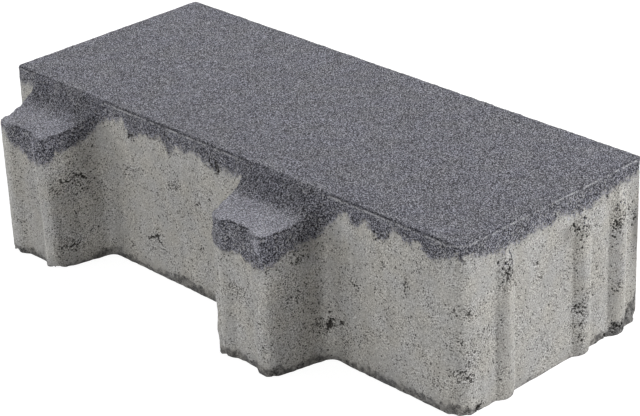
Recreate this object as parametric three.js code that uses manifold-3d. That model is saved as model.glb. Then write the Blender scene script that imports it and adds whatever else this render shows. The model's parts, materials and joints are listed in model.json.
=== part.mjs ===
// A concrete paving stone for open joints that drain or carry grass.
// It is one casting: a long block with two fluted spacer lugs on its front face, half-round
// spacer ribs on both ends, and a small stamped step all round its top edge.
// Millimetres, +Z up, lying on its bed face. The origin is on the bed, in the middle of the
// whole stone with its lugs and ribs.

import * as THREE from "three";
import { mergeVertices } from "three/addons/utils/BufferGeometryUtils.js";
import Module from "manifold-3d";

const wasm = await Module();
wasm.setup();

// The block.
const length = 290; // end face to end face
const width = 115; // front face to rear face
const height = 80; // bed to wearing face
const cornerRadius = 2; // three of the upright corners
const bluntCornerRadius = 8; // the upright corner at the free end of the front face

// The edge that the tamper stamps round the wearing face.
const ledgeWidth = 1; // from the side faces in to the stamped face
const ledgeDepth = 0.8; // from the wearing face down to the ledge
const arrisRadius = 0.4; // rounding of the stamped face's edge

// The two lugs that hold the wide joint open.
const lugInset = 41; // left end face to the middle of the first lug
const lugPitch = 148.5; // middle to middle
const lugReach = 30; // out from the front face
const lugNoseWidth = 35.4; // across the nose, with its rounded corners
const lugFlareAngle = 13; // degrees that each flank spreads towards the block
const noseRadius = 4.2; // upright corners of the nose
const rootRadius = 4.5; // hollow fillet between a flank and the front face
const fluteWidth = 20; // upright flute in the nose, at its mouth
const fluteDepth = 2.5;
const fluteSlope = 4; // how far each side of the flute leans in
const fluteRadius = 2; // roundings of the flute's edges and floor

// The lug's top lies lower than the wearing face and sweeps up to it in a cove.
const lugDrop = 12.5; // wearing face down to the lug's top at its nose
const lugTopRise = 1.5; // gentle rise of the top over the lug's whole reach
const coveSharpness = 4; // power of the sweep: higher keeps the top flat for longer
const noseRoundOver = 1.6; // rounding of the lug's top front edge
const coveSteps = 16;
const roundOverSteps = 4;

// The narrow ribs that hold the end joint open.
const ribWidth = 11.5; // at the end face
const ribHeight = 2.5; // out from the end face
const ribInset = 27; // front face to the middle of the single rib
const ribPairPitch = 24; // middle to middle of the two ribs near the rear face
const ribDrop = 8; // wearing face down to where a rib starts
const ribTaper = 11; // length over which a rib grows to its full height
const ribTaperSteps = 6;

const arcSegments = 5; // pairs of facets in each rounded corner
const ribFacets = 48; // round a rib's full circle
const overrun = 5; // how far a cutter passes the faces that it cuts

// Turns a closed three.js geometry into a solid that can be joined and cut.
function toSolid(geometry) {
  const bare = geometry.index ? geometry.toNonIndexed() : geometry.clone();
  bare.deleteAttribute("normal");
  bare.deleteAttribute("uv");
  const merged = mergeVertices(bare, 1e-4);
  return new wasm.Manifold(
    new wasm.Mesh({
      numProp: 3,
      vertProperties: merged.attributes.position.array,
      triVerts: new Uint32Array(merged.index.array),
    }),
  );
}

// Turns a solid back into a three.js geometry with flat faces.
function toGeometry(solid) {
  const mesh = solid.getMesh();
  const geometry = new THREE.BufferGeometry();
  geometry.setAttribute("position", new THREE.BufferAttribute(mesh.vertProperties, 3));
  geometry.setIndex(new THREE.BufferAttribute(mesh.triVerts, 1));
  const faceted = geometry.toNonIndexed();
  faceted.computeVertexNormals();
  return faceted;
}

// A closed outline through corners [x, y, radius], each rounded by its own tangent arc.
function roundedOutline(corners) {
  const shape = new THREE.Shape();
  corners.forEach(([x, y, radius], i) => {
    const corner = new THREE.Vector2(x, y);
    const [px, py] = corners[(i + corners.length - 1) % corners.length];
    const [nx, ny] = corners[(i + 1) % corners.length];
    const back = new THREE.Vector2(px, py).sub(corner).normalize();
    const ahead = new THREE.Vector2(nx, ny).sub(corner).normalize();
    const halfAngle = Math.acos(THREE.MathUtils.clamp(back.dot(ahead), -1, 1)) / 2;
    const reach = radius / Math.tan(halfAngle);
    const start = corner.clone().addScaledVector(back, reach);
    const end = corner.clone().addScaledVector(ahead, reach);
    const middle = back.clone().add(ahead).normalize();
    const centre = corner.clone().addScaledVector(middle, radius / Math.sin(halfAngle));
    const from = Math.atan2(start.y - centre.y, start.x - centre.x);
    const to = Math.atan2(end.y - centre.y, end.x - centre.x);
    const clockwise = back.cross(ahead) > 0;
    if (i === 0) shape.moveTo(start.x, start.y);
    else shape.lineTo(start.x, start.y);
    shape.absarc(centre.x, centre.y, radius, from, to, clockwise);
  });
  shape.closePath();
  return shape;
}

// The corners of one lug's outline, from left to right, with the front face on y = 0.
function lugCorners(middle) {
  const noseHalf = lugNoseWidth / 2;
  const rootHalf = noseHalf + lugReach * Math.tan(THREE.MathUtils.degToRad(lugFlareAngle));
  const mouthHalf = fluteWidth / 2;
  const floorHalf = mouthHalf - fluteSlope;
  const floor = fluteDepth - lugReach;
  return [
    [middle - rootHalf, 0, rootRadius],
    [middle - noseHalf, -lugReach, noseRadius],
    [middle - mouthHalf, -lugReach, fluteRadius],
    [middle - floorHalf, floor, fluteRadius],
    [middle + floorHalf, floor, fluteRadius],
    [middle + mouthHalf, -lugReach, fluteRadius],
    [middle + noseHalf, -lugReach, noseRadius],
    [middle + rootHalf, 0, rootRadius],
  ];
}

// The block's four corners, moved in from its side faces by an even margin.
function blockCorners(margin) {
  const x = length / 2 - margin;
  return {
    frontLeft: [-x, margin, cornerRadius - margin],
    frontRight: [x, margin, bluntCornerRadius - margin],
    rearRight: [x, width - margin, cornerRadius - margin],
    rearLeft: [-x, width - margin, cornerRadius - margin],
  };
}

const lugMiddles = [0, 1].map((i) => -length / 2 + lugInset + i * lugPitch);
const ledgeHeight = height - ledgeDepth;

// Block and lugs up to the ledge, as the mould's walls form them.
function mouldedBody() {
  const block = blockCorners(0);
  const outline = roundedOutline([
    block.frontLeft,
    ...lugMiddles.flatMap(lugCorners),
    block.frontRight,
    block.rearRight,
    block.rearLeft,
  ]);
  return toSolid(
    new THREE.ExtrudeGeometry(outline, {
      depth: ledgeHeight,
      bevelEnabled: false,
      curveSegments: arcSegments,
    }),
  );
}

// The stamped wearing face, rooted in the body below the ledge.
function stampedFace() {
  const depth = 2 * ledgeDepth;
  const geometry = new THREE.ExtrudeGeometry(
    roundedOutline(Object.values(blockCorners(ledgeWidth))),
    {
      depth: depth,
      bevelThickness: arrisRadius,
      bevelSize: arrisRadius,
      bevelOffset: -arrisRadius,
      bevelSegments: 3,
      curveSegments: arcSegments,
    },
  );
  geometry.translate(0, 0, height - arrisRadius - depth);
  return toSolid(geometry);
}

// Height of a lug's top at a distance out from the front face.
function coveHeight(out) {
  const share = 1 - out / lugReach;
  const noseHeight = height - lugDrop;
  const sweep = ledgeHeight - noseHeight - lugTopRise;
  return noseHeight + lugTopRise * share + sweep * share ** coveSharpness;
}

// Everything above the lugs' tops, as a prism that runs the length of the front face.
function coveCutter() {
  const section = new THREE.Shape();
  const flatEnd = lugReach - noseRoundOver;
  section.moveTo(0, ledgeHeight);
  for (let i = 1; i <= coveSteps; i++) {
    const out = (flatEnd * i) / coveSteps;
    section.lineTo(-out, coveHeight(out));
  }
  const edge = coveHeight(flatEnd);
  for (let i = 1; i <= roundOverSteps; i++) {
    const turn = (Math.PI / 2) * (i / roundOverSteps);
    section.lineTo(
      -flatEnd - noseRoundOver * Math.sin(turn),
      edge - noseRoundOver * (1 - Math.cos(turn)),
    );
  }
  section.lineTo(-lugReach - overrun, edge - noseRoundOver);
  section.lineTo(-lugReach - overrun, height + overrun);
  section.lineTo(0, height + overrun);
  section.closePath();
  const geometry = new THREE.ExtrudeGeometry(section, {
    depth: length + 2 * overrun,
    bevelEnabled: false,
  });
  const across = new THREE.Matrix4().makeBasis(
    new THREE.Vector3(0, 1, 0),
    new THREE.Vector3(0, 0, 1),
    new THREE.Vector3(1, 0, 0),
  );
  geometry.applyMatrix4(across);
  geometry.translate(-length / 2 - overrun, 0, 0);
  return toSolid(geometry);
}

// One rib: a turned post sunk in the end face, so that a low round segment stands out of it.
// Its head draws in until it is flush with the face.
function rib(x, y, outward) {
  const radius = ((ribWidth / 2) ** 2 + ribHeight ** 2) / (2 * ribHeight);
  const sunk = radius - ribHeight;
  const top = height - ribDrop;
  const shoulder = top - ribTaper;
  const profile = [new THREE.Vector2(0, 0), new THREE.Vector2(radius, 0)];
  for (let i = 0; i <= ribTaperSteps; i++) {
    const share = i / ribTaperSteps;
    const stand = (ribHeight * (1 + Math.cos(Math.PI * share))) / 2;
    profile.push(new THREE.Vector2(sunk + stand, shoulder + ribTaper * share));
  }
  profile.push(new THREE.Vector2(0, top));
  const geometry = new THREE.LatheGeometry(profile, ribFacets);
  geometry.rotateX(Math.PI / 2);
  geometry.translate(x - outward * sunk, y, 0);
  return toSolid(geometry);
}

// Each end has a single rib and a pair. The pair is centred as far from the rear face as the
// single one is from the front, and the other end is the same turned half round, so that the
// single rib of one stone drops between the pair of the next.
function ribs() {
  const fromFront = [
    ribInset,
    width - ribInset - ribPairPitch / 2,
    width - ribInset + ribPairPitch / 2,
  ];
  return fromFront.flatMap((y) => [
    rib(length / 2, y, 1),
    rib(-length / 2, width - y, -1),
  ]);
}

const body = mouldedBody().subtract(coveCutter());
const stone = [stampedFace(), ...ribs()].reduce((whole, piece) => whole.add(piece), body);

const pavingStone = new THREE.Mesh(
  toGeometry(stone),
  new THREE.MeshStandardMaterial({ color: 0x97958f, roughness: 0.95, metalness: 0 }),
);
pavingStone.name = "paving_stone";
pavingStone.position.y = (lugReach - width) / 2;

const group = new THREE.Group();
group.add(pavingStone);

export default group;
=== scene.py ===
# Dresses the concrete paving stone: worn cast form, voids, two concrete mixes, studio.
import json
import math
from functools import partial

import bpy
import numpy as np
from mathutils import Euler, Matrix, Quaternion, Vector, kdtree, noise

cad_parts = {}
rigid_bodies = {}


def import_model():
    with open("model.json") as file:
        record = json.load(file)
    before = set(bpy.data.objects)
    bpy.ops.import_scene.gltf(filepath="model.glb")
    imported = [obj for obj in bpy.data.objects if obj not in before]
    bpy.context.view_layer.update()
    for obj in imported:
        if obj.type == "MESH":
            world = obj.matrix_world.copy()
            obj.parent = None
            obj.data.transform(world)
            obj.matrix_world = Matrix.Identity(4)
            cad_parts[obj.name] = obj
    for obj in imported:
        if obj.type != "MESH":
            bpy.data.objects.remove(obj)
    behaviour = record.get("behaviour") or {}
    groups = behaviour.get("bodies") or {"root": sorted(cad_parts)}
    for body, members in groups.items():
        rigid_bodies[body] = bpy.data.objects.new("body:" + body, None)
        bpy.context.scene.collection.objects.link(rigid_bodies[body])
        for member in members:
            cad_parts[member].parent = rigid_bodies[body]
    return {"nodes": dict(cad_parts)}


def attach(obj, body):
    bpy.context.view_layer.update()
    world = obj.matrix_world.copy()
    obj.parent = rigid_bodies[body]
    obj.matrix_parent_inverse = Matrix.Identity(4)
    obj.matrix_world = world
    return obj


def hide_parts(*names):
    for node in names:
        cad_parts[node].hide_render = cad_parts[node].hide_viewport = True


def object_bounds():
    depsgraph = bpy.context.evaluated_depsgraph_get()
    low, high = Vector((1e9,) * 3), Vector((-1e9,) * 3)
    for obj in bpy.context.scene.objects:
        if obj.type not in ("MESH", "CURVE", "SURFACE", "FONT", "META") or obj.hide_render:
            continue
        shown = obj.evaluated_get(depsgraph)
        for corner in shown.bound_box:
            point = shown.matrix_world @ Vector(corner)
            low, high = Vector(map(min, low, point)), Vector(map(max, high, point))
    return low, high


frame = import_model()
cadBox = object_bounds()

mm = 0.001
scene = bpy.context.scene


def selectOnly(obj):
    bpy.ops.object.select_all(action="DESELECT")
    obj.select_set(True)
    bpy.context.view_layer.objects.active = obj


# camera
camera = dict(
    spot=(0.65835, -0.59555, 0.46909),  # in metres
    azimuth=46.992,  # degrees turned from looking along +Y
    elevation=26.107,  # degrees that it looks down
    roll=2.442,  # degrees that it leans to its right
    lens=120.97,
)


def placeCamera():
    turn = Euler((math.radians(90 - camera["elevation"]), 0, math.radians(camera["azimuth"])))
    lean = Quaternion((0, 0, 1), math.radians(-camera["roll"]))
    bpy.ops.object.camera_add(
        location=camera["spot"],
        rotation=(turn.to_quaternion() @ lean).to_euler(),
    )
    scene.camera = bpy.context.object
    scene.camera.data.lens = camera["lens"]
    scene.camera.data.clip_start = 0.01
    scene.camera.data.clip_end = 50


placeCamera()
print("camera placed")


def linear(code):
    # sRGB hex to the linear colour that the shaders take
    parts = [int(code[i : i + 2], 16) / 255 for i in (0, 2, 4)]
    flat = [c / 12.92 if c <= 0.04045 else ((c + 0.055) / 1.055) ** 2.4 for c in parts]
    return (*flat, 1)


def addNode(tree, kind, inputs=None, out=0, **settings):
    # one node with its settings; an input is a value, or the socket that feeds it
    node = tree.nodes.new("ShaderNode" + kind)
    for name, value in settings.items():
        setattr(node, name, value)
    for socket, value in (inputs or {}).items():
        if isinstance(value, bpy.types.NodeSocket):
            tree.links.new(value, node.inputs[socket])
        else:
            node.inputs[socket].default_value = value
    return node.outputs[out] if node.outputs else None


# studio
studio = dict(
    floorSize=12,
    floorShade="8c8c8c",  # what the stone sees of the floor
    paperShade="f9f9f9",
    paperGlow=1.25,
    shadowShare=0.25,  # how much of the stone's shadow shows on the white
    aim=(0, 0, 0.03),  # where all lamps point
    lampDistance=1.5,
    lampSize=0.8,
    lamps=[
        # name, azimuth from +X and elevation in degrees, watts
        ("keyBackRight", 45, 35, 13.9),
        ("lowRight", 25, 18, 7.9),
        ("lowFrontRight", -60, 15, 8.2),
        ("lowFrontLeft", -127, 15, 8.0),
        ("backLeft", 150, 38, 13.5),
    ],
)


def clearedTree(owner):
    owner.use_nodes = True
    owner.node_tree.nodes.clear()
    return partial(addNode, owner.node_tree)


def seenAsWhite(add):
    # 1 where the camera, a reflection or glass sees the background, and 0 for its light
    rays = add("LightPath").node.outputs
    seen = add("Math", {0: rays["Is Camera Ray"], 1: rays["Is Glossy Ray"]}, operation="MAXIMUM")
    return add("Math", {0: seen, 1: rays["Is Transmission Ray"]}, operation="MAXIMUM")


def buildStudio():
    bpy.ops.mesh.primitive_plane_add(size=studio["floorSize"], location=(0, 0, 0))
    floor = bpy.context.object
    floor.name = "floor"
    # matt uncoated paper: plain white with a soft shadow, and a dull grey to the stone
    paper = bpy.data.materials.new("whitePaper")
    add = clearedTree(paper)
    lit = add("BsdfDiffuse", {"Color": linear(studio["paperShade"])})
    white = add("Emission", {"Color": linear("ffffff"), "Strength": studio["paperGlow"]})
    shown = add("MixShader", {0: studio["shadowShare"], 1: white, 2: lit})
    dull = add("BsdfDiffuse", {"Color": linear(studio["floorShade"])})
    both = add("MixShader", {0: seenAsWhite(add), 1: dull, 2: shown})
    add("OutputMaterial", {"Surface": both})
    floor.data.materials.append(paper)

    scene.world = bpy.data.worlds.new("studioAir")
    add = clearedTree(scene.world)
    air = add("Background", {"Color": linear("ffffff"), "Strength": seenAsWhite(add)})
    add("OutputWorld", {"Surface": air})

    for name, azimuth, elevation, watts in studio["lamps"]:
        turn = Euler((0, math.radians(-elevation), math.radians(azimuth)))
        out = turn.to_matrix() @ Vector((studio["lampDistance"], 0, 0))
        bpy.ops.object.light_add(type="AREA", location=Vector(studio["aim"]) + out,
                                 rotation=out.to_track_quat("Z", "Y").to_euler())
        lamp = bpy.context.object
        lamp.name = name
        lamp.data.size = studio["lampSize"]
        lamp.data.energy = watts
    scene.view_settings.view_transform = "Standard"


buildStudio()
print("studio built")


# the stone's cast form
cast = dict(
    triangles=196000,
    gridDepth=9,  # octree levels of the even grid, cells of about 0.64 mm
    gridFill=0.9,
    half=145,  # half of the block's length; this and all below are in millimetres
    front=-42.5,
    rear=72.5,
    bluntRadius=8,  # the upright corner at the right of the front
    ledge=79.2,  # the stamped ledge round the wearing face
    lugMiddles=(-104, 44.5),
    reach=30,  # how far the lugs stand out
    noseHalf=17.7,
    flare=0.231,  # how much each side widens per millimetre towards the block
    lugTop=67.5,  # height at the nose
    lugRise=1.5,  # even rise of the top towards the block
    coveRise=10.2,  # further rise of the cove, steeper and steeper up to the ledge
)


def applyModifier(obj, kind, **settings):
    modifier = obj.modifiers.new(kind.lower(), kind)
    for name, value in settings.items():
        setattr(modifier, name, value)
    selectOnly(obj)
    bpy.ops.object.modifier_apply(modifier=modifier.name)


def places(obj):
    # the vertices' places in millimetres
    flat = np.empty(len(obj.data.vertices) * 3, np.float32)
    obj.data.vertices.foreach_get("co", flat)
    return flat.reshape(-1, 3).astype(float) / mm


def directions(obj):
    flat = np.empty(len(obj.data.vertices) * 3, np.float32)
    obj.data.vertex_normals.foreach_get("vector", flat)
    return flat.reshape(-1, 3).astype(float)


def softDirections(obj, rounds):
    # normals blurred over their neighbours, so that both sides of an edge move the same way
    ways = directions(obj)
    ends = np.empty(len(obj.data.edges) * 2, np.int32)
    obj.data.edges.foreach_get("vertices", ends)
    first, second = ends.reshape(-1, 2).T
    count = len(ways)
    for _ in range(rounds):
        for k in range(3):
            gathered = np.bincount(first, ways[second, k], count)
            gathered += np.bincount(second, ways[first, k], count)
            ways[:, k] += gathered
        ways /= np.linalg.norm(ways, axis=1)[:, None] + 1e-9
    return ways


def moveTo(obj, spots):
    # sets the vertices' places, in millimetres
    obj.data.vertices.foreach_set("co", (spots * mm).astype(np.float32).ravel())
    obj.data.update()


def fade(value, start, end):
    # 0 at start, 1 at end, soft at both
    share = np.clip((value - start) / (end - start), 0, 1)
    return share * share * (3 - 2 * share)


def wander(spots, size, seed):
    # smooth noise from -1 to 1 with features of that size in millimetres
    return np.array([noise.noise(Vector(spot) / size + Vector((seed, 2.3 * seed, 0.7 * seed)))
                     for spot in spots])


def uneven(spots, share, *waves):
    # a share that wanders over the stone; a wave is its amount, its size and a seed
    for amount, size, seed in waves:
        share = share + amount * wander(spots, size, seed)
    return share


def placeTree():
    # finds the stone's vertices by place
    spots = places(stone)
    tree = kdtree.KDTree(len(spots))
    for i, spot in enumerate(spots):
        tree.insert(spot, i)
    tree.balance()
    return tree


def weigh(obj, name, weights, levels=60):
    # a vertex group, as if painted
    group = obj.vertex_groups.get(name) or obj.vertex_groups.new(name=name)
    steps = np.rint(np.clip(weights, 0, 1) * levels).astype(int)
    for step in range(1, levels + 1):
        chosen = np.nonzero(steps == step)[0]
        if len(chosen):
            group.add(chosen.tolist(), step / levels, "REPLACE")


def roughen(obj, group, size, depth, detail=2, contrast=1.0):
    # pushes the weighed part inwards by up to depth, in lumps of that size, both in millimetres
    texture = bpy.data.textures.new(group, "CLOUDS")
    texture.noise_scale = size * mm
    texture.noise_depth = detail
    texture.contrast = contrast
    applyModifier(obj, "DISPLACE", texture=texture, strength=depth * mm, mid_level=1.0,
                  vertex_group=group, texture_coords="LOCAL")


def subdivideWhere(obj, chosen):
    # halves the grid where the vertices are chosen
    selectOnly(obj)
    bpy.ops.object.mode_set(mode="EDIT")
    bpy.ops.mesh.select_mode(type="VERT")
    bpy.ops.mesh.select_all(action="DESELECT")
    bpy.ops.object.mode_set(mode="OBJECT")
    obj.data.vertices.foreach_set("select", chosen)
    bpy.ops.object.mode_set(mode="EDIT")
    bpy.ops.mesh.subdivide(number_cuts=1)
    bpy.ops.object.mode_set(mode="OBJECT")


def insideEdge(spots):
    # distance in from the block's side faces, with the blunt corner counted
    x, y = spots[:, 0], spots[:, 1]
    inside = np.minimum(cast["half"] - np.abs(x), np.minimum(y - cast["front"], cast["rear"] - y))
    blunt = cast["bluntRadius"]
    right, out = x - (cast["half"] - blunt), (cast["front"] + blunt) - y
    corner = (right > 0) & (out > 0)
    return np.where(corner, blunt - np.hypot(right, out), inside)


def castForm():
    selectOnly(frame["nodes"]["paving_stone"])
    bpy.ops.object.duplicate()
    stone = bpy.context.object
    stone.name = "pressedStone"
    bpy.ops.object.parent_clear(type="CLEAR")
    for mark in [key for key in stone.keys() if key.startswith("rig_")]:
        del stone[mark]
    # the CAD's loose triangles are joined first
    bpy.ops.object.mode_set(mode="EDIT")
    bpy.ops.mesh.select_all(action="SELECT")
    bpy.ops.mesh.remove_doubles(threshold=0.001 * mm)
    bpy.ops.object.mode_set(mode="OBJECT")
    applyModifier(stone, "REMESH", mode="SHARP", octree_depth=cast["gridDepth"],
                  scale=cast["gridFill"], use_remove_disconnected=False)
    # hard edges below the stamped rim are softened
    belowRim = fade(places(stone)[:, 2], 78.6, 77.6)
    weigh(stone, "softened", belowRim)
    applyModifier(stone, "SMOOTH", factor=0.5, iterations=1, vertex_group="softened")
    return stone


stone = castForm()
print("stone gridded:", len(stone.data.vertices), "vertices")


# wear: rounded corners, a ragged bed edge and the stamped rim
wear = dict(
    leans=(2.6, 1.3),  # how far each lug's right flank leans in at its top
    burrHeight=0.45,  # how far the rim's outer edge stands up from the ledge
    burrWidth=0.5,
    burrBreaks=(0.62, (0.55, 7, 1), (0.5, 1.8, 2)),  # share kept, then its waves, as for uneven
    topWave=(45, 0.25),  # lump size and depth, in millimetres
    sideWave=(32, 0.28),
    bedReach=2.8,  # how far from the bed's outer edge it is worn
    bedDepth=0.5,
    bedBreaks=(0.65, (0.5, 8, 3), (0.4, 3, 4)),
    lugEdge=0.75,  # how deep the lugs' top edges are chipped
    lugBreaks=(0.25, (0.8, 4.5, 8), (0.8, 1.9, 9)),
    chipWave=(0.3, 4, 5),  # makes the worn spots below uneven
    sideways=[
        # middle, radius, depth: an upright corner, worn back without lowering the lug's top
        ((26.5, -71, 64), 9, 1.2),
        ((26.5, -71, 50), 10, 1.1),
        ((26.5, -71, 36), 10, 0.9),
        ((26.5, -71, 20), 10, 0.7),
        ((26.5, -71, 4), 9, 0.7),
    ],
    spots=[
        # middle, radius, depth: worn straight in
        ((-87.5, -71.5, 1), 7, 1.9),
        ((-85.5, -66, 0), 5, 0.8),
        ((62.5, -71, 1), 5, 1.0),
        ((33, -71, 0), 5, 1.2),
        ((-118, -72, 0), 4, 1.0),
        ((74, -42.5, 0), 8, 0.6),
        ((145, 47, 0), 5, 0.6),
        ((145.5, 60, 0), 4, 0.7),
        ((144, -39, 1), 4, 0.9),
        ((140, -42, 0), 4, 0.9),
        ((-145, -42.5, 79), 3, 0.5),
        ((-60, 72.5, 0), 6, 1.3),
        ((70, 72.5, 1), 5, 1.2),
        ((-145, 20, 0), 6, 1.2),
        ((-145, 72, 0), 5, 1.4),
        ((145, 72, 1), 5, 1.2),
    ],
)


def coveShare(spots):
    # 1 where a lug's cove meets the wearing face
    x, y = spots[:, 0], spots[:, 1]
    share = np.zeros(len(spots))
    for middle in cast["lugMiddles"]:
        share = np.maximum(share, fade(np.abs(x - middle), 26.5, 24))
    return share * fade(y, cast["front"] + 3, cast["front"] + 1)


def lugTopAt(out):
    # height of a lug's top at a distance out from the block
    share = np.clip(1 - out / cast["reach"], 0, 1)
    return cast["lugTop"] + cast["lugRise"] * share + cast["coveRise"] * share ** 4


def leanFlanks():
    # each lug's right flank leans in towards its top
    spots = places(stone)
    x, y, z = spots.T
    for middle, lean in zip(cast["lugMiddles"], wear["leans"]):
        share = fade(x - middle, 5, 11) * fade(x - middle, 36, 30) * fade(z, 28, 66)
        x -= lean * share * fade(cast["front"] - y, 0, 10)
    moveTo(stone, spots)


def raiseBurr():
    # the rim is made finer, and its outer edge is raised into a broken burr
    spots = places(stone)
    inside = insideEdge(spots)
    subdivideWhere(stone, (spots[:, 2] > 78.3) & (inside < 1.9) & (inside > -1.2))
    spots = places(stone)
    inside = insideEdge(spots)
    crest = np.clip(1 - np.abs(inside) / wear["burrWidth"], 0, 1)
    crest *= np.abs(spots[:, 2] - cast["ledge"]) < 0.35
    onRim = np.nonzero(crest * (1 - coveShare(spots)))[0]
    broken = np.clip(uneven(spots[onRim], *wear["burrBreaks"]), 0, 1.1)
    spots[onRim, 2] += wear["burrHeight"] * crest[onRim] * broken
    moveTo(stone, spots)


def waveFaces():
    # the coves are smoothed, and no face is quite flat
    spots, normals = places(stone), directions(stone)
    weigh(stone, "coveTop", coveShare(spots) * fade(spots[:, 2], 74, 77))
    applyModifier(stone, "SMOOTH", factor=0.5, iterations=12, vertex_group="coveTop")
    flat = fade(normals[:, 2], 0.6, 0.95) * (spots[:, 2] > 79.6)
    weigh(stone, "wavyTop", flat * fade(insideEdge(spots), 0.8, 4))
    roughen(stone, "wavyTop", *wear["topWave"], detail=1)
    upright = fade(np.abs(normals[:, 2]), 0.5, 0.2)
    weigh(stone, "wavySides", upright * fade(spots[:, 2], 79, 74))
    roughen(stone, "wavySides", *wear["sideWave"], detail=2)


def bedWear(spots, ways):
    # how deep the bed's outer edge is worn, round and ragged
    outline = np.nonzero((spots[:, 2] < 2) & (spots[:, 2] > 1) & (ways[:, 2] > -0.75))[0]
    tree = kdtree.KDTree(len(outline))
    for i in outline:
        tree.insert((spots[i, 0], spots[i, 1], 0), int(i))
    tree.balance()
    worn = np.zeros(len(spots))
    for i in np.nonzero(spots[:, 2] < wear["bedReach"])[0]:
        x, y, z = spots[i]
        away = tree.find((x, y, 0))[2] if z < 0.4 else 0
        worn[i] = fade(math.hypot(away, z), wear["bedReach"], 0.2)
    rim = np.nonzero(worn)[0]
    ragged = uneven(spots[rim], *wear["bedBreaks"])
    worn[rim] *= wear["bedDepth"] * np.clip(ragged, 0.15, 1.2)
    return worn


def lugEdgeWear(spots, ways):
    # how deep the top edges of the lugs are chipped
    edge = fade(ways[:, 2], 0.3, 0.6) * fade(ways[:, 2], 0.97, 0.8)
    edge *= fade(spots[:, 2], 60, 64) * fade(cast["front"] - spots[:, 1], 2, 6)
    edge = np.where(edge > 0.01, edge, 0)
    crest = np.nonzero(edge)[0]
    ragged = uneven(spots[crest], *wear["lugBreaks"])
    edge[crest] = wear["lugEdge"] * edge[crest] * np.clip(ragged, 0, 1)
    return edge


def wearEdges():
    # the bed's and the lugs' edges, then the spots that are worn most
    spots, ways = places(stone), softDirections(stone, 14)
    worn = bedWear(spots, ways) + lugEdgeWear(spots, ways)
    corners = np.zeros(len(spots))
    for chips, depths in ((wear["spots"], worn), (wear["sideways"], corners)):
        for middle, radius, depth in chips:
            apart = np.linalg.norm(spots - np.array(middle), axis=1)
            near = np.nonzero(apart < radius * 1.4)[0]
            apart = apart[near] * uneven(spots[near], 1, wear["chipWave"])
            depths[near] = np.maximum(depths[near], depth * fade(apart, radius, 0))
    level = ways * [1, 1, 0]
    level /= np.maximum(np.linalg.norm(level, axis=1), 0.5)[:, None]
    moveTo(stone, spots - ways * worn[:, None] - level * corners[:, None])


leanFlanks()
raiseBurr()
waveFaces()
wearEdges()
print("stone worn:", len(stone.data.vertices), "vertices")


# voids that the mix left against the mould
def faceSpot(face, across, up):
    # a place on one of the faces, in millimetres across it and up it
    first, second = cast["lugMiddles"]
    nose = cast["front"] - cast["reach"]
    half = cast["noseHalf"] + (across - nose) * cast["flare"]
    return Vector({
        "front": (across, cast["front"], up),
        "rear": (across, cast["rear"], up),
        "end": (cast["half"] + 1, across, up),
        "farEnd": (-cast["half"] - 1, across, up),
        "nose": (across, nose + 1.5, up),
        "flank1": (first + half, across, up),
        "flank2": (second + half, across, up),
        "inner1": (first - half, across, up),
        "inner2": (second - half, across, up),
    }[face])


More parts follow.
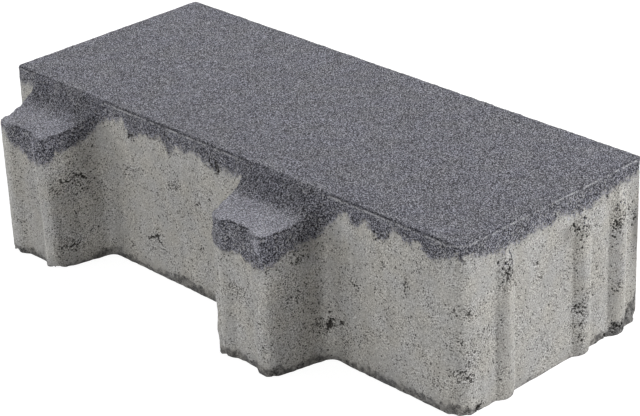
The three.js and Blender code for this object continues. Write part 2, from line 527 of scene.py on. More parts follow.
voids = dict(
    seed=11,
    deepest=1.9,
    wide=0.25,  # pits of a larger radius than this get a finer grid
    # range of radius, depth per radius, and how loose the mix is round it
    clusterPits=((0.4, 0.8), 1.4, 0.045),  # this range and the next are shares of a size
    crackPits=((0.5, 1.2), 2.2, 0.012),
    besideCrack=((0.27, 0.4), 1.4, 0.03),
    groupPits=((0.3, 0.6), 1.4, 0.03),
    crackScale=0.75,  # of the sizes given for cracks
    crackLeast=0.28,  # no pit of a crack is smaller
    crackStep=0.25,  # from pit to pit along a crack
    crackJitter=0.16,
    besideChance=0.22,  # that a pit lies beside the crack at a step
    besideJitter=0.9,
    strayRadius=(0.29, 0.3),  # the smallest, and how much larger a few are
    clusters=[
        # face, middle across and up, spread across and up, pits, size
        ("end", -14.5, 58, 3.0, 4.6, 69, 0.72),
        ("end", 3.5, 54.8, 1.2, 0.8, 6, 0.8),
        ("end", 8, 48, 1.0, 1.0, 4, 0.7),
        ("end", 33.5, 60.5, 3.0, 2.8, 45, 0.72),
        ("end", 27.5, 63.5, 0.6, 0.8, 3, 0.9),
        ("end", 35.5, 29, 2.6, 2.6, 30, 0.7),
        ("end", 31.5, 23.5, 2.2, 1.6, 21, 0.7),
        ("end", 33.5, 17.5, 1.6, 2.4, 21, 0.7),
        ("end", 26.5, 16, 1.0, 1.0, 6, 0.8),
        ("end", 32, 8, 1.0, 1.2, 6, 0.8),
        ("end", 58.5, 58.5, 3.4, 4.0, 57, 0.75),
        ("end", 53.5, 53, 1.2, 3.2, 15, 0.8),
        ("end", 56, 24, 1.6, 1.8, 21, 0.65),
        ("end", 57, 4, 3.6, 2.0, 36, 0.8),
        ("end", 68, 52, 1.0, 2.6, 12, 0.8),
        ("end", -38, 48, 2.6, 1.6, 9, 0.7),
        ("end", -39, 18, 3.2, 1.8, 9, 0.7),
        ("end", -26, 36, 5.0, 3.2, 21, 0.6),
        ("end", -35, 27, 4.0, 3.4, 24, 0.6),
        ("end", -32, 2, 1.4, 1.0, 12, 1.0),
        ("end", -19, 14, 3.0, 4.0, 12, 0.6),
        ("end", 10, 10, 6.0, 2.0, 8, 0.6),
        ("front", 142, 50, 2.6, 1.4, 8, 0.7),
        ("front", 140.5, 35.5, 3.0, 1.8, 12, 0.6),
        ("front", 141, 19, 3.2, 1.8, 12, 0.7),
        ("front", 128, 11, 3.0, 2.0, 18, 0.6),
        ("front", 68.5, 17.5, 1.6, 2.4, 21, 0.9),
        ("front", 75.2, 20.2, 0.9, 1.3, 8, 1.1),
        ("front", 78.5, 13, 1.6, 2.4, 8, 0.7),
        ("front", 75.5, 39.6, 0.6, 0.5, 3, 0.8),
        ("front", 84.5, 41, 1.4, 0.8, 6, 0.7),
        ("front", 102.5, 56.5, 1.2, 0.8, 6, 0.6),
        ("front", 114.5, 54, 0.9, 2.8, 15, 0.7),
        ("front", 100, 21, 6.0, 2.0, 18, 0.6),
        ("front", -0.5, 70.3, 0.8, 1.4, 10, 0.8),
        ("front", -4.6, 71, 0.6, 0.6, 3, 0.8),
        ("front", -6.5, 53.5, 1.0, 2.0, 9, 0.6),
        ("front", -14.2, 25.5, 0.5, 0.5, 3, 0.9),
        ("front", -14.8, 47.5, 0.5, 0.6, 3, 0.9),
        ("front", -31, 50, 3.4, 1.6, 15, 0.5),
        ("front", -65, 46.5, 3.0, 2.4, 18, 0.5),
        ("front", -23, 37.5, 6.0, 3.0, 21, 0.5),
        ("front", -22, 22, 7.0, 2.6, 21, 0.5),
        ("front", -49.5, 12.8, 1.2, 0.4, 6, 0.7),
        ("front", -65, 11, 1.0, 1.2, 6, 0.7),
        ("front", -41, 73.5, 3.0, 1.0, 9, 0.5),
        ("front", -61.5, 68, 2.2, 1.0, 12, 0.7),
        ("front", -33, 68, 2.0, 1.0, 9, 0.6),
        ("front", 101, 69.5, 2.6, 1.2, 12, 0.7),
        ("flank1", -60, 39.5, 3.4, 2.6, 27, 0.55),
        ("flank1", -68, 40, 2.2, 2.0, 15, 0.5),
        ("flank1", -62, 11.5, 4.0, 1.8, 24, 0.6),
        ("flank2", -56, 53, 2.0, 2.0, 21, 0.6),
        ("flank2", -57, 34, 2.6, 3.6, 18, 0.5),
        ("flank2", -49, 19, 3.0, 2.4, 18, 0.6),
        ("nose", -114, 17.8, 1.8, 0.6, 10, 0.6),
        ("nose", 41, 33, 2.8, 1.6, 18, 0.5),
        ("nose", 58.5, 14, 1.6, 1.2, 9, 0.6),
        ("nose", 34, 62, 2.0, 3.0, 12, 0.5),
    ],
    cracks=[
        # face, points across and up, size
        ("front", [(-53, 17.4), (-50, 19), (-47.5, 20), (-45.2, 21.4)], 0.65),
        ("front", [(-46.2, 21), (-45.6, 18.6), (-43.6, 17.6), (-42.2, 16.2)], 0.62),
        ("front", [(-45.2, 21.6), (-43.6, 23.6), (-43.2, 25.2)], 0.4),
        ("front", [(-35, 51.6), (-31.5, 49.6), (-30, 50), (-28.2, 53)], 0.38),
        ("front", [(-64, 49.8), (-60.5, 50.2)], 0.42),
        ("front", [(-54.5, 43), (-50.5, 44.4)], 0.38),
        ("front", [(-1.6, 72.6), (-0.6, 70.6), (1.4, 68.4)], 0.6),
        ("front", [(66.5, 15.4), (68.4, 17.4), (69.8, 20.4), (72, 20.2)], 0.6),
        ("flank1", [(-66, 45.4), (-64.4, 43.4), (-60.8, 43.6), (-58.4, 45.6)], 0.5),
        ("flank1", [(-58.8, 47.2), (-57.4, 45.8), (-55.6, 45.4), (-54.6, 43.8), (-53, 43.4)], 0.6),
        ("flank1", [(-69, 11), (-66, 11.4)], 0.45),
        ("flank1", [(-64.5, 10.4), (-60, 11)], 0.42),
        ("flank2", [(-51, 19.8), (-46.5, 18.8)], 0.45),
        ("nose", [(37, 35.2), (40.5, 35.2), (44.8, 35.5)], 0.42),
        ("nose", [(-108.5, 20), (-105.2, 23.6)], 0.4),
        ("end", [(-17.5, 60), (-15.5, 58.4)], 0.55),
        ("end", [(-41.5, 49.4), (-38, 47.6), (-35, 45)], 0.34),
        ("end", [(-43, 19), (-38.5, 17.4), (-34.5, 16.4)], 0.34),
        ("rear", [(-92, 31), (-89, 32.5), (-86.5, 31.5), (-84, 34)], 0.55),
        ("rear", [(38, 57), (41, 55.4), (43, 56.4)], 0.45),
        ("farEnd", [(18, 42), (20, 40), (23, 40.4)], 0.5),
    ],
    strayGroups=[
        # face, how many groups of pits, and from where to where across
        ("rear", 10, (-140, 140)),
        ("farEnd", 9, (-40, 70)),
        ("inner1", 3, (-70, -46)),
        ("inner2", 3, (-70, -46)),
    ],
    strayPits=320,  # small ones all over the sides
    topPits=120,
)


def planVoids():
    # mouth, way out, radius and depth of every pit in millimetres, and how loose it is round it
    rng = np.random.default_rng(voids["seed"])
    tree, ways = placeTree(), softDirections(stone, 4)
    planned = []

    def addPit(spot, radius, steep=1.1, loose=0.0):
        mouth, i, _ = tree.find(spot)
        deep = min(radius * steep, voids["deepest"])
        planned.append((mouth, Vector(ways[i]), radius, deep, loose))

    def strewn(face, across, up, wide, tall):
        # a place near another one on a face
        return faceSpot(face, across + wide * rng.normal(), up + tall * rng.normal())

    sizes, steep, loose = voids["clusterPits"]
    for face, across, up, wide, tall, count, size in voids["clusters"]:
        for _ in range(count):
            spot = strewn(face, across, up, wide, tall)
            addPit(spot, size * rng.uniform(*sizes), steep, loose)
    sizes, steep, loose = voids["crackPits"]
    jitter, aside = voids["crackJitter"], voids["besideJitter"]
    besideSizes, *besideShape = voids["besideCrack"]
    for face, line, size in voids["cracks"]:
        line = np.array(line, float)
        ends = np.r_[0, np.linalg.norm(np.diff(line, axis=0), axis=1).cumsum()]
        for at in np.arange(0, ends[-1], voids["crackStep"]):
            across, up = np.interp(at, ends, line[:, 0]), np.interp(at, ends, line[:, 1])
            spot = strewn(face, across, up, jitter, jitter)
            radius = voids["crackScale"] * size * rng.uniform(*sizes)
            addPit(spot, max(voids["crackLeast"], radius), steep, loose)
            if rng.random() < voids["besideChance"]:
                spot = strewn(face, across, up, aside, aside)
                addPit(spot, rng.uniform(*besideSizes), *besideShape)
    sizes, steep, loose = voids["groupPits"]
    for face, groups, span in voids["strayGroups"]:
        for _ in range(groups):
            across, up = rng.uniform(*span), rng.uniform(8, 66)
            wide, tall = rng.uniform(1.2, 5), rng.uniform(1, 4)
            for _ in range(int(rng.uniform(6, 22))):
                spot = strewn(face, across, up, wide, tall)
                addPit(spot, rng.uniform(*sizes), steep, loose)
    smallest, more = voids["strayRadius"]
    spots, normals = places(stone), directions(stone)
    upright = np.nonzero((np.abs(normals[:, 2]) < 0.3) & (spots[:, 2] > 2))[0]
    for i in rng.choice(upright, voids["strayPits"]):
        addPit(Vector(spots[i]), smallest + more * rng.random() ** 3)
    flat = np.nonzero((normals[:, 2] > 0.6) & (spots[:, 2] > 66))[0]
    for i in rng.choice(flat, voids["topPits"]):
        addPit(Vector(spots[i]), smallest + more * rng.random() ** 3, 0.8)
    return planned


def besideWidePits(margin):
    # which vertices lie in a wide pit or within a margin of it
    tree = placeTree()
    near = np.zeros(len(stone.data.vertices), bool)
    for mouth, _, radius, _, _ in pits:
        if radius > voids["wide"]:
            for _, i, _ in tree.find_range(mouth, radius + margin):
                near[i] = True
    return near


def openVoids():
    # a finer grid under the wide pits, then every vertex in a pit is pushed in
    subdivideWhere(stone, besideWidePits(0.6))
    tree = placeTree()
    sunk = np.zeros(len(stone.data.vertices))
    ways = np.zeros((len(sunk), 3))
    for mouth, way, radius, depth, _ in pits:
        for place, i, away in tree.find_range(mouth, radius * 1.5):
            ragged = radius * (1 + 0.45 * noise.noise(place * 1.6))
            share = 1 - (away / ragged) ** 2
            if depth * share > sunk[i]:
                sunk[i] = depth * share
                ways[i] = way
    moveTo(stone, places(stone) - ways * sunk[:, None])


pits = planVoids()
openVoids()
print("voids opened:", len(pits), "pits,", len(stone.data.vertices), "vertices")


# grain of the mixes, in relief
grain = dict(
    contrast=1.5,
    wearing=(1.5, 0.2),  # lump size and depth, in millimetres
    faceMix=(2.2, 0.55),
    body=(2.3, 0.18),
)


def grainStone():
    spots, normals = places(stone), directions(stone)
    # the stamped tops, the face mix and the body on the sides each have their own grain
    z = spots[:, 2]
    onTop = fade(normals[:, 2], 0.5, 0.85) * (z > 60)
    side = (1 - onTop) * (z > 0.5)
    mixed = fade(z, 68, 74)
    offRim = np.where(z > 78, fade(insideEdge(spots), 0.9, 2.2), 1)
    weigh(stone, "wearing", onTop * np.maximum(offRim, coveShare(spots)))
    weigh(stone, "faceMix", side * mixed * fade(z, 78.4, 77))
    weigh(stone, "body", side * (1 - mixed))
    for part in ("wearing", "faceMix", "body"):
        roughen(stone, part, *grain[part], contrast=grain["contrast"])
    # thinned to the triangle count set in cast, but not in the voids; thinned to the
    # limit, but not in the voids
    weigh(stone, "spare", 1.0 - besideWidePits(0.2))
    triangles = sum(len(face.vertices) - 2 for face in stone.data.polygons)
    applyModifier(stone, "DECIMATE", ratio=cast["triangles"] / triangles, vertex_group="spare")
    low, high = (np.array(corner) / mm for corner in cadBox)
    moveTo(stone, np.clip(places(stone), low, high))
    selectOnly(stone)
    bpy.ops.object.shade_smooth()


grainStone()
print("stone grained:", len(stone.data.polygons), "triangles")


# where the mixes, stains, pores and the painted light and shade lie, kept as attributes for the
# material
marks = dict(
    # height of the face mix's lower border along each face, as (place across, height)
    borders=dict(
        front=[(-80, 71), (-74, 72), (-69, 72.5), (-66, 76), (-63.5, 70), (-61, 67.5),
               (-56, 68.5), (-52, 71.5), (-45, 71.5), (-40, 73), (-36, 71), (-33, 67), (-28, 73),
               (-21, 71), (-17, 73), (-12, 73), (-10, 69.5), (2, 69.5), (20, 71), (66, 62),
               (70, 65), (73, 69), (75, 70), (80, 74), (86, 70), (91, 74), (95, 72), (98, 69),
               (103, 68.5), (107, 74), (111, 74), (115, 71.5), (121, 75), (126, 70.5),
               (131, 70.5), (136, 71.5), (141, 75)],
        end=[(-40, 75), (-34, 74), (-31, 70.8), (-21, 69.8), (-12, 69), (-5, 69.2), (5, 70.2),
             (14, 70.4), (18, 72.2), (24, 69.4), (40, 69), (46, 70.8), (55, 71.8), (70, 72)],
        nose1=[(-121, 67), (-117.5, 65), (-114, 59.5), (-110, 56), (-106, 54.5), (-102, 52.5),
               (-98, 53.5), (-95, 54), (-90, 54.5), (-87, 56), (-84, 58)],
        nose2=[(28, 55), (34, 52.3), (38, 52.5), (44, 53), (48, 51.5), (53, 52), (60, 51.5),
               (64, 54)],
        flank1=[(-72, 56.5), (-68, 57), (-64, 59), (-60, 59), (-56, 59.5), (-52, 61),
                (-48, 64), (-46, 66), (-44.5, 69), (-43, 73)],
        flank2=[(-72, 52.5), (-66, 55), (-62, 56), (-58, 57.5), (-54, 58.5), (-50, 59.5),
                (-47, 60.5), (-45.5, 62), (-44, 65), (-42.5, 70)],
        inner=[(-72.5, 60), (-42.5, 69)],
    ),
    # height of the dark, damp strip above the bed, in the same way
    strips=dict(
        front=[(-80, 3), (-76, 4), (-70, 2.5), (-64, 3.5), (-58, 3), (-52, 2), (-46, 3),
               (-40, 3.5), (-37, 3), (-33, 5), (-29, 6), (-26, 6.5), (-22, 5), (-19, 3.5),
               (-16, 5), (-12, 4), (20, 4), (65, 3), (75, 2), (95, 4), (100, 5), (105, 3),
               (118, 5), (124, 4), (130, 3), (137, 5), (142, 7), (145, 8)],
        end=[(-42.5, 6), (-39, 5), (-35, 2), (-33.5, 3.5), (-31, 3.5), (-30, 0), (-10, 0),
             (7, 0.5), (8, 1.2), (10, 0), (40, 0.5), (41, 4), (45, 3.5), (52, 3), (53, 7),
             (58, 6), (62, 4.5), (64, 6), (65, 11), (68, 10), (71, 15)],
        nose1=[(-121, 2), (-118, 3), (-115, 3.5), (-107, 3), (-100, 3), (-97.5, 2.5), (-96, 1.5),
               (-90, 0.5), (-84, 1.5)],
        nose2=[(29, 3), (31, 4.5), (34, 4), (38, 4.5), (44, 3.5), (47, 1.5), (50, 3), (52, 5),
               (54, 4.5), (58, 2.5), (60, 4.5), (64, 4.5)],
        flank1=[(-72, 4.5), (-70, 5), (-67, 3.5), (-63, 1), (-56, 1.5), (-52, 3), (-49, 4.5),
                (-45, 3)],
        flank2=[(-72, 4), (-66, 3.5), (-60, 2.5), (-55, 2.5), (-50, 4.5), (-45, 3)],
        inner=[(-72.5, 3), (-60, 1.5), (-42.5, 3)],
    ),
    hiddenStrip=2.2,
    hiddenBorder=71.5,
    lugTopPaintedLight=(0.14, 0.23),  # how much painted light lightens each lug's top
    # how much painted shade darkens the lugs' coves
    paintedCoveShade=0.14,
    paintedFlankShade=0.11,  # how much painted shade darkens the lugs' right flanks, and how much looser the flanks' mix is
    flankLoose=0.11,
    footShade=0.22,  # how much darker the sides get down to the bed
    lessOnEnd=0.17,
    looseReach=3.5,  # how far round a pit the mix is loose, in millimetres
    tones=[
        # face, middle across and up, half width and height, lighter (+) or darker (-); those on
        # the ribs' left halves, the noses and the flanks are painted light and shade
        ("front", 100, 9, 14, 7, -0.12),
        ("front", -35, 40, 32, 34, -0.1),
        ("front", 105, 31, 2.5, 9, -0.14),
        ("front", 114.5, 54, 2, 5, -0.2),
        ("front", 144, 45, 7, 30, 0.14),
        ("end", 23.5, 61, 3, 4, -0.4),
        ("end", 24.5, 67.5, 2.5, 2, 0.5),
        ("end", 70, 40, 3, 40, -0.25),
        ("end", 69, 47, 2.5, 10, -0.4),
        ("end", -17.2, 34, 2.4, 32, -0.2),
        ("end", 31.2, 32, 2.4, 32, -0.24),
        ("end", 55.3, 34, 2.4, 32, -0.26),
        ("nose", -118.5, 38, 2.2, 28, 0.32),
        ("nose", -104, 30, 10, 26, -0.14),
        ("nose", 57, 63, 1.5, 4, 0.5),
        ("nose", 35, 60, 2.5, 4, 0.2),
        ("flank1", -67, 51, 5, 7, 0.2),
        ("flank1", -51, 48, 4, 16, -0.2),
        ("flank2", -67, 48, 6, 10, 0.12),
        ("flank2", -52, 30, 5, 26, -0.15),
        ("flank2", -50, 57, 6, 8, -0.3),
    ],
    lines=[
        # painted highlights (+) and painted shade (-) along the ribs' and the noses' edges: face,
        # low and high end as across and up, half width, lighter (+) or darker (-)
        ("end", (-9.6, 1), (-9.6, 52), 0.8, 0.3),
        ("end", (39.3, 2), (39.3, 56), 0.8, 0.26),
        ("end", (63.3, 5), (63.3, 60), 0.8, 0.42),
        ("end", (-20.6, 5), (-20.6, 46), 0.9, -0.14),
        ("end", (27.9, 5), (27.9, 56), 0.8, -0.12),
        ("end", (51.9, 8), (51.9, 52), 0.8, -0.2),
        ("nose", (-93.3, 3), (-95.8, 64), 1.1, 0.5),
        ("nose", (57, 15), (56.6, 47), 0.9, 0.55),
        ("nose", (53.7, 2), (53.7, 30), 0.5, 0.25),
        ("nose", (32.4, 2), (32.4, 46), 0.8, 0.3),
    ],
)


def along(face, spots):
    # each vertex's place across a face, and through it
    x, y = spots[:, 0], spots[:, 1]
    return (x, y) if face.startswith(("front", "nose")) else (y, x)


def heightsAt(spots, lines, hidden):
    # a border's height at each vertex, from the lines given for the faces
    x, y = spots[:, 0], spots[:, 1]
    low = np.full(len(spots), float(hidden)) + 2.5 * wander(spots * [1, 1, 0], 14, 7)

    def take(face, chosen):
        across = along(face, spots)[0]
        low[chosen] = np.interp(across[chosen], *zip(*lines[face]))

    take("front", (np.abs(y - cast["front"]) < 2.5) & (x > -82))
    take("end", (x > cast["half"] - 1.5) & (y > cast["front"] + 1))
    for number, middle in enumerate(cast["lugMiddles"], 1):
        out = (y < cast["front"] - 2.5) & (np.abs(x - middle) < 30)
        take("inner", out & (x < middle))
        take(f"flank{number}", out & (x > middle))
        take(f"nose{number}", out & (y < -66.5) & (np.abs(x - middle) < 20.5))
    return low


def stainsAndPaintedLight(spots, normals):
    # how much lighter or darker each vertex is, from stains and from painted light and shade,
    # before the painted edge lines
    z, up = spots[:, 2], normals[:, 2]
    tone = np.zeros(len(spots))
    for face, across, high, wide, tall, amount in marks["tones"]:
        sideways, through = along(face, spots - np.array(faceSpot(face, across, high)))
        reach = np.hypot(sideways / wide, (z - high) / tall)
        tone += amount * np.exp(-reach ** 2) * (np.abs(through) < 5)
    # darker towards the bed
    onEnd = fade(spots[:, 0], cast["half"] - 6, cast["half"] - 2)
    tone -= (marks["footShade"] - marks["lessOnEnd"] * onEnd) * fade(z, 12, 0) ** 1.6
    # painted light on the lugs' tops, and painted shade up in the coves and on the right flanks,
    # which the block shadows
    out = cast["front"] - spots[:, 1]
    lugTop = (out > -1) * fade(up, 0.2, 0.5) * (z > 66)
    first, second = marks["lugTopPaintedLight"]
    paintedTopLight = np.where(spots[:, 0] > 0, second, first)
    tone += lugTop * (paintedTopLight * fade(out, 6, 14) - marks["paintedCoveShade"] * fade(out, 13, 6))
    tone -= marks["paintedFlankShade"] * (out > 4) * (normals[:, 0] > 0.6)
    return tone


def paintedEdgeLines(spots):
    # place across the nearest painted edge line, in half widths, and how much painted highlight
    # (+) or shade (-) it adds
    z = spots[:, 2]
    line, paintedEdgeLight = np.full(len(spots), 9.0), np.zeros(len(spots))
    for face, low, high, wide, amount in marks["lines"]:
        sideways, through = along(face, spots - np.array(faceSpot(face, *low)))
        sideways -= (high[0] - low[0]) * (z - low[1]) / (high[1] - low[1])
        near = (np.abs(sideways) < 2.6) & (np.abs(through) < 4)
        ends = fade(z, low[1] - 2, low[1] + 2) * fade(z, high[1] + 2, high[1] - 2)
        line[near] = sideways[near] / wide
        paintedEdgeLight[near] = (amount * ends * fade(np.abs(sideways), 2.5, 1.6))[near]
    return line, paintedEdgeLight


def voidDepths(spots, normals):
    # how deep in a pit each vertex lies, in millimetres, and how loose the mix is there
    tree = placeTree()
    reach = marks["looseReach"]
    hollow, porous = np.zeros(len(spots)), np.zeros(len(spots))
    for mouth, way, radius, depth, loose in pits:
        for place, i, away in tree.find_range(mouth, reach):
            down = (mouth - place).dot(way)
            aside = math.sqrt(max(away * away - down * down, 0))
            if aside < radius * 1.1:
                hollow[i] = max(hollow[i], min(down, depth))
            porous[i] += loose * (1 - away / reach)
    onFlanks = (cast["front"] - spots[:, 1] > 4) * (np.abs(normals[:, 0]) > 0.6)
    porous += marks["flankLoose"] * onFlanks
    return hollow, np.minimum(porous, 0.8)


def edgePlaces(spots, normals):
    # places across the rim's ledge and down from the lugs' top edges, in millimetres
    y, z = spots[:, 1], spots[:, 2]
    rim = insideEdge(spots) - 1.2 * np.maximum(0, cast["ledge"] - 0.2 - z)
    rim = np.clip(rim - 12 * coveShare(spots), -9, 9)
    out = cast["front"] - y
    lip = np.where(out > 1, lugTopAt(out) - z, 9) + 9 * fade(normals[:, 2], 0.55, 0.8)
    return rim, lip + 9 * fade(out, 16, 8) * (out > 1)


def paintMarks():
    spots, normals = places(stone), directions(stone)
    x, y, z = spots.T
    # heights over the border, where tops are face mix all over, and under the damp strip's edge
    above = z - heightsAt(spots, marks["borders"], marks["hiddenBorder"])
    above += 25 * fade(normals[:, 2], 0.35, 0.7) * (z > 60)
    damp = heightsAt(spots, marks["strips"], marks["hiddenStrip"]) - z
    # 1 along the front, where the rim's corner gets painted shade, and 0 at the end and behind
    frontal = fade(x + y - cast["front"], cast["half"] + 3, cast["half"] - 4)
    frontal *= fade(y, cast["rear"] - 20, cast["front"] + 20)
    hollow, porous = voidDepths(spots, normals)
    rim, lip = edgePlaces(spots, normals)
    line, paintedEdgeLight = paintedEdgeLines(spots)
    for name, values in dict(above=above, tone=stainsAndPaintedLight(spots, normals), hollow=hollow,
                             porous=porous, rim=rim, lip=lip, frontal=frontal, damp=damp,
                             line=line, paintedEdgeLight=paintedEdgeLight).items():
        attribute = stone.data.attributes.new(name, "FLOAT", "POINT")
        attribute.data.foreach_set("value", values.astype(np.float32))


paintMarks()
print("marks painted")


# material: pressed concrete, dry and matt, as it comes out of the mould. Its sand shows as light
# and dark grains, the mould's walls leave pin holes and gaps, and no part of it shines.
# Shade in its creases, coves and pits, and light on its ridges and lug tops, are painted into its
# colour.
concrete = dict(
    # a dark, fine face mix lies over an open, pale grey body
    faceDark="222226",
    faceMid="5e5e65",
    faceLight="b0b0b6",
    bodyDark="7c7a77",
    bodyMid="b4b3b1",
    bodyLight="dcdbda",
    voidShade="24211d",
    dampShade="8c8c8e",  # what the damp strip, and the stains with the painted shade, leave of the colour under them
    stainAndPaintedShade="6f6c69",
    # pale grains and painted light on the body, then painted light and lighter patches on the face
    # mix
    paleGrainAndLight="e9e8e4",
    facePaleAndLight="d4d4de",
    # pale grains in the face mix, and the painted highlight on the rim's burr
    paleGrainAndBurrHighlight="c4c4c8",
    facePatch=(0.98, 0.985, 1.04, 1),  # tints of the patches, as factors of red, green and blue
    bodyPatch=(1.04, 1.02, 0.97, 1),
    faceContrast=1.9,
    bodyContrast=(0.8, 1.65),
    roughness=0.9,
    specular=0.25,
    bumpDepth=0.4,  # in millimetres, as all sizes from here
    # real sand is 0.1 to 1 mm wide; most of it is too fine to show, so it is drawn this coarse
    sand=0.58,
    clumps=2.6,
    patches=12,
    tongues=(6, 1.8),  # of one mix in the other, at the border
    # size of the cells that hold one each, its radius as a share of a cell, its strength
    darkGrain=(1.3, 0.42, 0.9),
    paleGrain=(1.0, 0.4, 0.6),
    bareGrain=(1.4, 0.42, 0.6),
    pinHole=(0.9, 0.42, 1),  # real ones are 0.2 to 1 mm wide; drawn 0.6 to 0.8, so that all show
    crumbHole=(1.3, 0.46, 1),
    darkShare=0.22,  # of the cells
    paleShare=0.05,
    bareShare=0.3,  # on the sides, where the paste has left the grains bare
    gap=1.15,  # from gap to gap between the grains, where the mix is loose
    openPatches=9,  # where the body is rough, and where holes and gaps crowd
    holePatches=14,
    gapPatches=1.6,
    dampEdge=3.2,
    runs=(4, 7),  # width, and how many times longer they are upwards
    burrBreaks=3,
    creaseShadeBreaks=2.2,
)


def pressedConcrete():
    # a MapRange spreads its range 1 to 2 over 3 to 4; a colour Mix goes from 6 to 7 by 0
    paint = bpy.data.materials.new("pressedConcrete")
    add = clearedTree(paint)
    shade = {name: linear(code) for name, code in concrete.items() if isinstance(code, str)}
    asColour = dict(out=2, data_type="RGBA")
    asTint = dict(asColour, blend_type="MULTIPLY")
    spot = add("TexCoord", out="Object")
    upwards = add("SeparateXYZ", {0: add("TexCoord", out="Normal")}, out=2)

    def pattern(kind, size, seed, inputs=None, tall=1, **settings):
        # a texture with features of that size in millimetres, drawn out upwards by tall
        scale = 1 / (size * mm)
        turned = add("Mapping", {
            "Vector": spot,
            "Location": (seed * 3.1, seed * 1.7, seed * 5.3),
            "Rotation": (0.6, 0.4, 0.9),  # off the faces, where the noise would be uneven
            "Scale": (scale, scale, scale / tall),
        })
        return add(kind, {"Vector": turned, "Scale": 1, **(inputs or {})}, **settings)

    def lumps(size, seed, start, end, low, high, detail=2, rough=0.5, tall=1):
        # soft noise of that size; its part from start to end is spread from low to high
        cloud = pattern("TexNoise", size, seed, {"Detail": detail, "Roughness": rough}, tall)
        return add("MapRange", {0: cloud, 1: start, 2: end, 3: low, 4: high})

    def dots(name, seed, share):
        # one grain or hole in that share of the cells
        size, reach, strength = concrete[name]
        cells = pattern("TexVoronoi", size, seed)
        chance = add("SeparateXYZ", {0: cells.node.outputs["Color"]})
        chosen = add("Math", {0: chance, 1: share}, operation="LESS_THAN")
        dot = add("MapRange", {0: cells, 1: reach * 0.75, 2: reach, 3: strength, 4: 0})
        return add("Math", {0: dot, 1: chosen}, operation="MULTIPLY")

    def ramp(value, dark, mid, light):
        # dark at -1, mid at 0 and light at 1
        low = add("Mix", {0: add("MapRange", {0: value, 1: -1, 2: 0}), 6: shade[dark],
                          7: shade[mid]}, **asColour)
        return add("Mix", {0: value, 6: low, 7: shade[light]}, **asColour)

    above, tone, hollow, porous, rim, lip, frontal, damp, line, paintedEdgeLight = (
        add("Attribute", out="Fac", attribute_name=name)
        for name in ("above", "tone", "hollow", "porous", "rim", "lip", "frontal", "damp",
                     "line", "paintedEdgeLight"))

    sand = lumps(concrete["sand"], 3, 0.2, 0.8, -1, 1, 1)
    clumps = lumps(concrete["clumps"], 4, 0.2, 0.8, -1, 1)
    patches = lumps(concrete["patches"], 5, 0.35, 0.65, 0, 1)

    # ragged border: the mixes run into each other by a few millimetres
    wide, narrow = concrete["tongues"]
    height = add("Math", {0: above, 1: lumps(wide, 1, 0.3, 0.7, -1.4, 1.4, 3, 0.6, 1.2)})
    height = add("Math", {0: height, 1: lumps(narrow, 2, 0.3, 0.7, -1.6, 1.6, 2, 0.6)})
    height = add("Math", {0: sand, 1: 2.2, 2: height}, operation="MULTIPLY_ADD")
    faceShare = add("MapRange", {0: height, 1: -1.3, 2: 1.0}, interpolation_type="SMOOTHSTEP")

    # the face mix is stamped flat on top, and more open on its sides
    openSide = add("MapRange", {0: upwards, 1: 0.75, 2: 0.45})
    strength = add("MapRange", {0: openSide, 3: concrete["faceContrast"],
                                4: 1.15 * concrete["faceContrast"]})
    grains = add("Math", {0: clumps, 1: 0.06}, operation="MULTIPLY")
    grains = add("Math", {0: sand, 1: strength, 2: grains}, operation="MULTIPLY_ADD")
    face = ramp(grains, "faceDark", "faceMid", "faceLight")
    bare = add("Math", {0: openSide, 1: concrete["bareShare"]}, operation="MULTIPLY")
    for grain, tint in ((dots("darkGrain", 11, concrete["darkShare"]), "faceDark"),
                        (dots("paleGrain", 18, concrete["paleShare"]), "paleGrainAndBurrHighlight"),
                        (dots("bareGrain", 16, bare), "bodyMid")):
        face = add("Mix", {0: grain, 6: face, 7: shade[tint]}, **asColour)
    face = add("Mix", {0: patches, 6: face, 7: concrete["facePatch"]}, **asTint)

    # the body is rougher in some places than in others
    strength = lumps(concrete["openPatches"], 17, 0.35, 0.65, *concrete["bodyContrast"])
    strength = add("Math", {0: porous, 1: 5, 2: strength}, operation="MULTIPLY_ADD")
    grains = add("Math", {0: clumps, 1: 0.08}, operation="MULTIPLY")
    grains = add("Math", {0: sand, 1: strength, 2: grains}, operation="MULTIPLY_ADD")
    body = ramp(grains, "bodyDark", "bodyMid", "bodyLight")
    body = add("Mix", {0: dots("paleGrain", 19, concrete["paleShare"]), 6: body,
                       7: shade["paleGrainAndLight"]}, **asColour)
    body = add("Mix", {0: patches, 6: body, 7: concrete["bodyPatch"]}, **asTint)
    colour = add("Mix", {0: faceShare, 6: body, 7: face}, **asColour)

    # pin holes, and gaps between the sand grains, closer together round the voids
    crowd = add("MapRange", {0: porous, 3: 0.09, 4: 0.55})
    crowded = lumps(concrete["holePatches"], 7, 0.42, 0.62, -0.03, 0.12, 3, 0.6)
    crowd = add("Math", {0: crowd, 1: crowded})
    crowd = add("Math", {0: crowd, 1: add("MapRange", {0: height, 1: -5, 2: 0, 3: 0, 4: 0.15})})
    pore = dots("pinHole", 6, crowd)
    loose = lumps(concrete["gapPatches"], 13, 0.3, 0.66, 0, 1, 3, 0.7)
    loose = add("Math", {0: crowd, 1: loose}, operation="SUBTRACT")
    loose = add("MapRange", {0: loose, 1: -0.05, 2: 0.1})
    gap = pattern("TexVoronoi", concrete["gap"], 12, feature="DISTANCE_TO_EDGE")
    gap = add("MapRange", {0: gap, 1: 0.05, 2: 0.22, 3: loose, 4: 0})
    crumbs = add("MapRange", {0: porous, 1: 0.1, 2: 0.7, 3: 0, 4: 0.6})
    crumbs = dots("crumbHole", 20, crumbs)
    for more in (gap, crumbs):
        pore = add("Math", {0: pore, 1: more}, operation="MAXIMUM")
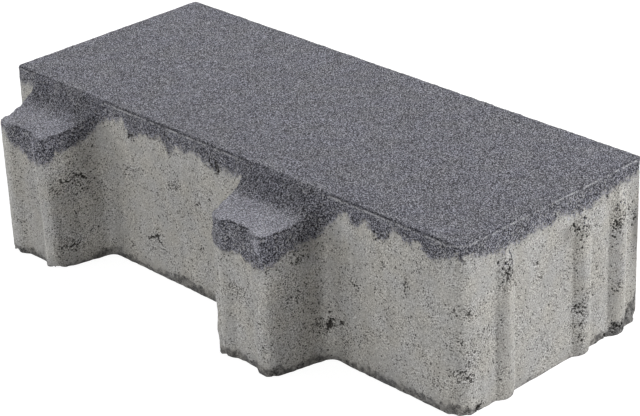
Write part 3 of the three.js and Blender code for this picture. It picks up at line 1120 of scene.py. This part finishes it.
    # painted shade in the pits, darker the deeper the vertex lies
    paintedPitShade = add("MapRange", {0: hollow, 1: 0.12, 2: 0.5, 3: 0, 4: 0.92})
    shown = add("MapRange", {0: faceShare, 3: 0.9, 4: 0.45})
    shown = add("Math", {0: shown, 1: pore}, operation="MULTIPLY")
    shown = add("Math", {0: shown, 1: paintedPitShade}, operation="MAXIMUM")
    colour = add("Mix", {0: shown, 6: colour, 7: shade["voidShade"]}, **asColour)

    # dark damp strip along the bed, with a ragged edge
    strip = lumps(concrete["dampEdge"], 14, 0.3, 0.7, -1.8, 1.8, 3, 0.6)
    for rise in (damp, sand):
        strip = add("Math", {0: strip, 1: rise})
    patchy = add("MapRange", {0: clumps, 1: -0.5, 2: 0.33, 3: 0.4, 4: 1})
    strip = add("MapRange", {0: strip, 1: -0.6, 2: 0.8, 3: 0, 4: patchy})
    colour = add("Mix", {0: strip, 6: colour, 7: shade["dampShade"]}, **asTint)

    # stains, faint upright streaks, painted light and shade and the painted edge lines, broken up
    # by the grain
    width, tall = concrete["runs"]
    aside = add("Math", {0: line}, operation="ABSOLUTE")
    paintedEdgeTone = add("MapRange", {0: aside, 1: 1.1, 2: 0.1, 3: 0, 4: paintedEdgeLight})
    for more in (paintedEdgeTone, lumps(width, 9, 0.3, 0.7, -0.06, 0.06, tall=tall)):
        tone = add("Math", {0: tone, 1: more})
    broken = add("MapRange", {0: sand, 1: -0.67, 2: 0.67, 3: 0.4, 4: 1.6})
    tone = add("Math", {0: tone, 1: broken}, operation="MULTIPLY")
    colour = add("Mix", {0: add("MapRange", {0: tone, 1: 0, 2: -1}), 6: colour,
                         7: shade["stainAndPaintedShade"]}, **asTint)
    paleGrainAndLight = add("Mix", {0: faceShare, 6: shade["paleGrainAndLight"], 7: shade["facePaleAndLight"]}, **asColour)
    colour = add("Mix", {0: tone, 6: colour, 7: paleGrainAndLight}, **asColour)

    # a painted highlight on the burr at the rim's outer edge, by the millimetres in from it
    paleGrainAndBurrHighlight = add("MapRange", {0: rim, 1: -0.85, 2: -0.35, 3: 0, 4: 1})
    paleGrainAndBurrHighlight = add("MapRange", {0: rim, 1: 0.45, 2: 0.2, 3: 0, 4: paleGrainAndBurrHighlight})
    for part in (add("MapRange", {0: sand, 1: -0.4, 2: 0.4, 3: 0.2, 4: 0.85}),
                 lumps(concrete["burrBreaks"], 10, 0.4, 0.54, 0, 1, 3, 0.6)):
        paleGrainAndBurrHighlight = add("Math", {0: paleGrainAndBurrHighlight, 1: part}, operation="MULTIPLY")
    colour = add("Mix", {0: paleGrainAndBurrHighlight, 6: colour, 7: shade["paleGrainAndBurrHighlight"]}, **asColour)

    # painted shade in the rim's corner, and painted shadow under the lugs' top edges
    paintedCreaseShade = add("MapRange", {0: rim, 1: 0.5, 2: 0.65, 3: 0, 4: frontal})
    paintedCreaseShade = add("MapRange", {0: rim, 1: 1.0, 2: 0.8, 3: 0, 4: paintedCreaseShade})
    patchy = lumps(concrete["creaseShadeBreaks"], 15, 0.4, 0.6, 0, 0.35, 3, 0.6)
    paintedCreaseShade = add("Math", {0: paintedCreaseShade, 1: patchy}, operation="MULTIPLY")
    under = add("MapRange", {0: lip, 1: 0.1, 2: 0.5, 3: 0, 4: 0.75})
    under = add("MapRange", {0: lip, 1: 1.6, 2: 0.9, 3: 0, 4: under})
    under = add("MapRange", {0: clumps, 1: -0.5, 2: 0.3, 3: 0, 4: under})
    paintedCreaseShade = add("Math", {0: paintedCreaseShade, 1: under}, operation="MAXIMUM")
    colour = add("Mix", {0: paintedCreaseShade, 6: colour, 7: shade["faceDark"]}, **asColour)

    # the sand stands up a little, and the holes go in
    relief = add("Math", {0: sand, 1: 0.24}, operation="MULTIPLY")
    relief = add("Math", {0: relief, 1: pore}, operation="SUBTRACT")
    bump = add("Bump", {"Strength": 0.8, "Distance": concrete["bumpDepth"] * mm,
                        "Height": relief})
    shader = add("BsdfPrincipled", {
        "Base Color": colour,
        "Roughness": concrete["roughness"],
        "Specular IOR Level": concrete["specular"],
        "Normal": bump,
    })
    add("OutputMaterial", {"Surface": shader})
    return paint


stone.data.materials.clear()
stone.data.materials.append(pressedConcrete())
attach(stone, "root")
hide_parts("paving_stone")
print("concrete applied")
